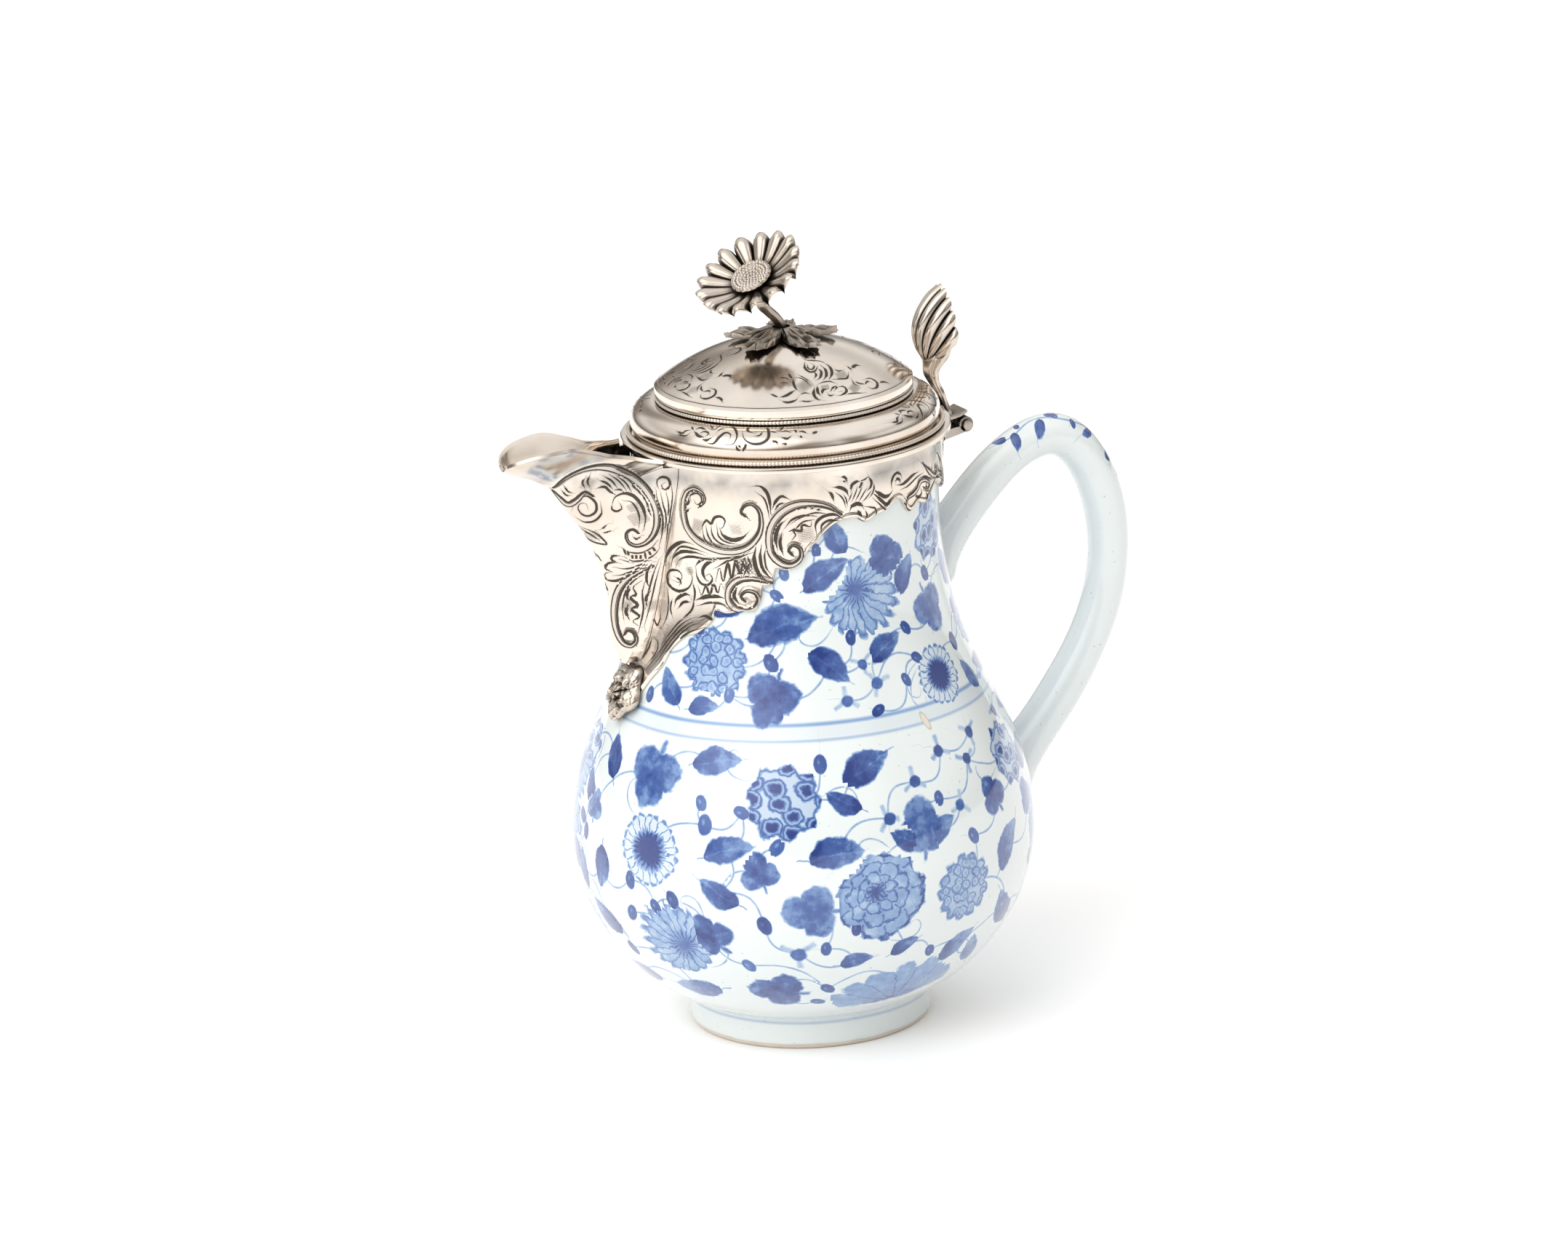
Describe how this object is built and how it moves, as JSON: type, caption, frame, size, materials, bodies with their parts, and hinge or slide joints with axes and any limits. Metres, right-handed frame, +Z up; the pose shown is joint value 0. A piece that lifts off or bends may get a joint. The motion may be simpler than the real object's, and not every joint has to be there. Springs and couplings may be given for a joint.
{
  "type": "lidded jug",
  "caption": "Pear-shaped porcelain jug with a loop handle, silver collar, keeled pouring spout and a hinged domed lid with a shell thumbpiece and a flower finial.",
  "frame": {"origin": "on the table under the middle of the bounding box", "axes": "+Z up along the jug's axis, spout along -X, handle and lid hinge along +X"},
  "size_m": [0.1596, 0.1086, 0.1891],
  "materials": {
    "porcelain": "bluish white glaze over blue painted flowers",
    "silver": "engraved and polished, lightly tarnished",
    "dark_silver": "cast and chased, dark in the hollows"
  },
  "bodies": {
    "jug": {"porcelain_body": "porcelain", "porcelain_handle": "porcelain", "neck_collar": "silver", "collar_seat": "silver", "spout": "silver", "spout_drop": "dark_silver", "hinge_leaf_collar": "dark_silver", "hinge_pin": "dark_silver"},
    "lid": {"lid_flange": "silver", "lid_bezel": "silver", "lower_milled_wire": "silver", "lid_ovolo": "silver", "upper_milled_wire": "silver", "lid_dome": "silver", "hinge_leaf_lid": "dark_silver", "thumbpiece": "dark_silver", "finial_leaves": "dark_silver", "finial_stem": "dark_silver", "finial_flower": "dark_silver", "finial_seed_disc": "dark_silver", "finial_nut": "silver"}
  },
  "joints": [
    {"name": "lid_hinge", "type": "hinge", "parent": "jug", "child": "lid", "pos_m": [0.0368, 0, 0.137], "axis": [0, 1, 0], "range_deg": [0, 95]}
  ]
}
